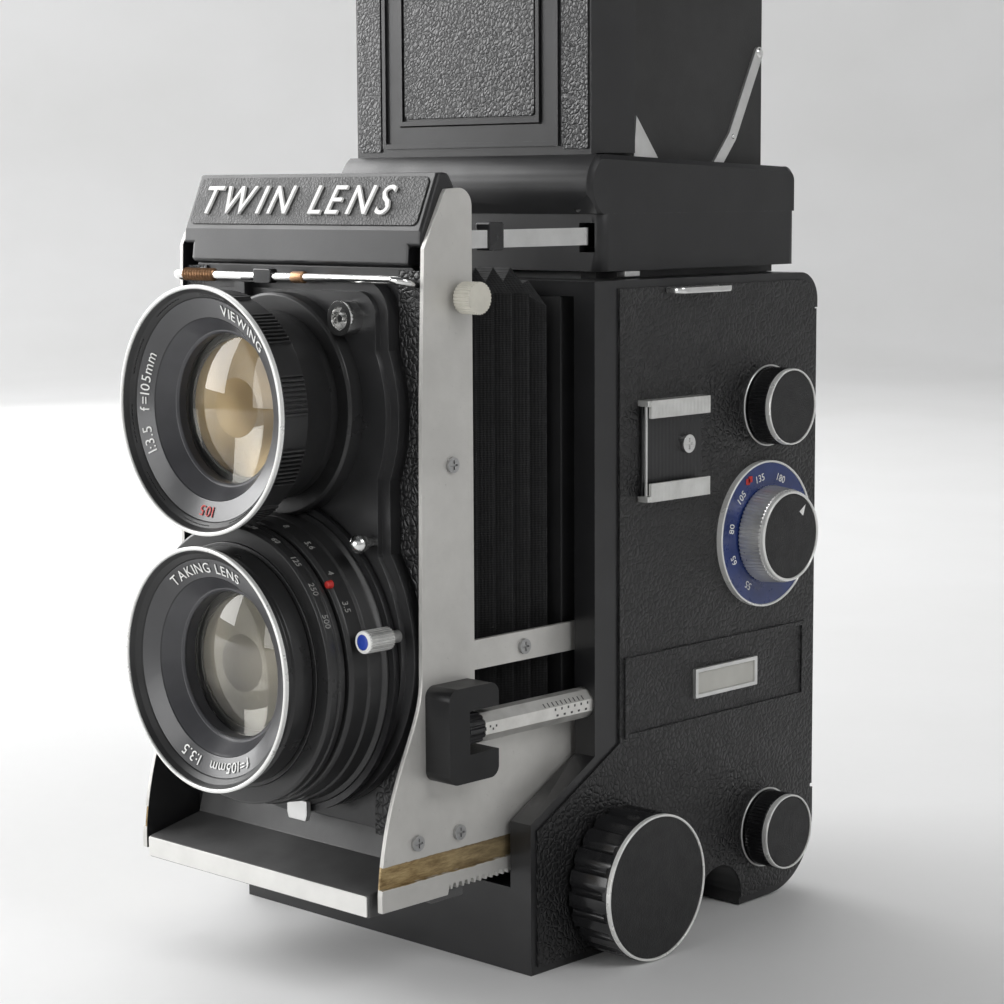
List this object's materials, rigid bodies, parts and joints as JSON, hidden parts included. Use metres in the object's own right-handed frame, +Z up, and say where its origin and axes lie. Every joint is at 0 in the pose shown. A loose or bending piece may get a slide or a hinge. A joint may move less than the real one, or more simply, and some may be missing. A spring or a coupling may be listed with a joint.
{
  "type": "twin lens reflex camera",
  "caption": "Medium-format film camera with two stacked lenses on a rack-focused bellows standard, a folding waist-level hood and side controls.",
  "frame": {"origin": "mouth of the tripod socket, in the base plane", "axes": "+Z up, lenses face -Y, +X is the camera's own left side"},
  "size_m": [0.1219, 0.1407, 0.221],
  "materials": {
    "black_casting": "satin black enamel",
    "leatherette": "pebbled black",
    "satin_plate": "satin",
    "chrome_trim": "polished",
    "black_knob": "semi-gloss",
    "matte_black": "matte",
    "optical_glass": "coated",
    "ground_glass": "frosted",
    "silvered_mirror": "polished",
    "bellows_cloth": "matte pleated",
    "dial_enamel": "enamel",
    "ivory_knob": "satin",
    "card_stock": "matte",
    "steel_parts": "machined"
  },
  "bodies": {
    "body": {"body_shell": "black_casting", "leatherette_left": "leatherette", "leatherette_right": "leatherette", "base_plate": "black_casting", "film_gate": "chrome_trim", "reflex_mirror": "silvered_mirror", "focusing_screen": "ground_glass", "finder_base": "black_casting", "finder_cover": "black_casting", "hood_lid": "black_casting", "accessory_shoe": "chrome_trim", "shoe_screw": "chrome_trim", "card_frame": "chrome_trim", "memo_card": "card_stock", "strap_lugs": "chrome_trim", "dial_plate": "dial_enamel", "counter_window": "optical_glass", "bellows_frame": "matte_black", "bellows": "bellows_cloth"},
    "standard": {"standard_frame": "black_casting", "side_plate_left": "satin_plate", "side_plate_right": "satin_plate", "nameplate": "leatherette", "front_shelf": "black_casting", "scale_bracket": "black_knob", "lens_board": "black_casting", "viewing_barrel": "black_casting", "viewing_glass": "optical_glass", "shutter_housing": "black_casting", "taking_barrel": "black_casting", "taking_glass": "optical_glass", "sync_socket": "chrome_trim", "plate_screws": "chrome_trim", "parallax_bar": "chrome_trim"},
    "focus_drive": {"focus_shaft": "steel_parts", "focus_knob_left": "black_knob", "focus_knob_right": "black_knob"},
    "scale_rod": {"scale_rod": "satin_plate"},
    "lens_wire": {"lens_wire": "chrome_trim", "wire_knob": "ivory_knob"},
    "cocking_lever": {"cocking_lever": "chrome_trim"},
    "speed_ring": {"speed_ring": "black_casting"},
    "film_knob_upper": {"film_knob_upper": "black_knob"},
    "film_knob_lower": {"film_knob_lower": "black_knob"},
    "lens_change_knob": {"lens_change_knob": "chrome_trim"},
    "crank": {"winding_crank": "chrome_trim", "takeup_spool": "matte_black"},
    "crank_grip": {"crank_grip": "black_knob"},
    "supply_spool": {"supply_spool": "matte_black"},
    "back_door": {"back_door": "black_casting", "pressure_plate": "matte_black"},
    "door_latch": {"door_latch": "chrome_trim"},
    "sports_door": {"sports_door": "black_casting"},
    "magnifier": {"magnifier": "black_casting"},
    "hood_rear": {"hood_rear": "matte_black"},
    "hood_side_left": {"hood_side_left": "matte_black", "hood_stays_left": "chrome_trim"},
    "hood_side_right": {"hood_side_right": "matte_black", "hood_stays_right": "chrome_trim"},
    "shutter_release": {"shutter_release": "chrome_trim"}
  },
  "joints": [
    {"name": "focus_slide", "type": "slide", "parent": "body", "child": "standard", "axis": [0, -1, 0], "range_m": [-0.02, 0.028], "deforming": ["bellows"]},
    {"name": "focus_knob_turn", "type": "hinge", "parent": "body", "child": "focus_drive", "pos_m": [0, -0.0214, 0.0151], "axis": [1, 0, 0], "range_deg": [-230, 320]},
    {"name": "scale_rod_turn", "type": "hinge", "parent": "standard", "child": "scale_rod", "pos_m": [0.0389, -0.06, 0.0516], "axis": [0, 1, 0], "continuous": true},
    {"name": "lens_wire_lift", "type": "hinge", "parent": "standard", "child": "lens_wire", "pos_m": [0, -0.0577, 0.1338], "axis": [-1, 0, 0], "range_deg": [0, 18]},
    {"name": "shutter_cock", "type": "hinge", "parent": "standard", "child": "cocking_lever", "pos_m": [0, -0.071, 0.0626], "axis": [0, 1, 0], "range_deg": [0, 38]},
    {"name": "speed_ring_turn", "type": "hinge", "parent": "standard", "child": "speed_ring", "pos_m": [0, -0.082, 0.0626], "axis": [0, 1, 0], "range_deg": [-120, 120]},
    {"name": "upper_knob_pull", "type": "slide", "parent": "body", "child": "film_knob_upper", "axis": [1, 0, 0], "range_m": [0, 0.006]},
    {"name": "lower_knob_pull", "type": "slide", "parent": "body", "child": "film_knob_lower", "axis": [1, 0, 0], "range_m": [0, 0.006]},
    {"name": "lens_change_turn", "type": "hinge", "parent": "body", "child": "lens_change_knob", "pos_m": [0.045, 0.0266, 0.0808], "axis": [1, 0, 0], "range_deg": [-90, 0]},
    {"name": "crank_turn", "type": "hinge", "parent": "body", "child": "crank", "pos_m": [-0.046, 0.0284, 0.1081], "axis": [1, 0, 0], "continuous": true},
    {"name": "crank_grip_fold", "type": "hinge", "parent": "crank", "child": "crank_grip", "pos_m": [-0.0566, 0.0284, 0.086], "axis": [0, 1, 0], "range_deg": [0, 90]},
    {"name": "supply_spool_turn", "type": "hinge", "parent": "body", "child": "supply_spool", "pos_m": [0, 0.0284, 0.016], "axis": [1, 0, 0], "continuous": true},
    {"name": "back_door_open", "type": "hinge", "parent": "body", "child": "back_door", "pos_m": [0, 0.0444, 0.02], "axis": [-1, 0, 0], "range_deg": [0, 90]},
    {"name": "door_latch_slide", "type": "slide", "parent": "back_door", "child": "door_latch", "axis": [0, 0, 1], "range_m": [0, 0.002]},
    {"name": "hood_rear_fold", "type": "hinge", "parent": "body", "child": "hood_rear", "pos_m": [0, 0.0404, 0.1532], "axis": [1, 0, 0], "range_deg": [0, 90]},
    {"name": "hood_left_fold", "type": "hinge", "parent": "body", "child": "hood_side_left", "pos_m": [0.0315, 0.01, 0.1502], "axis": [0, -1, 0], "range_deg": [0, 90]},
    {"name": "hood_right_fold", "type": "hinge", "parent": "body", "child": "hood_side_right", "pos_m": [-0.0315, 0.01, 0.1476], "axis": [0, 1, 0], "range_deg": [0, 90]},
    {"name": "sports_door_open", "type": "hinge", "parent": "body", "child": "sports_door", "pos_m": [0, -0.0176, 0.2062], "axis": [-1, 0, 0], "range_deg": [-80, 0]},
    {"name": "magnifier_swing", "type": "hinge", "parent": "sports_door", "child": "magnifier", "pos_m": [0, -0.0149, 0.202], "axis": [-1, 0, 0], "range_deg": [-90, 0]},
    {"name": "release_press", "type": "slide", "parent": "body", "child": "shutter_release", "axis": [1, 0, 0], "range_m": [0, 0.0015], "stiffness_N_per_m": 400}
  ],
  "couplings": [
    {"joint": "focus_knob_turn", "follows": "focus_slide", "rad_per_m": 196.08}
  ]
}
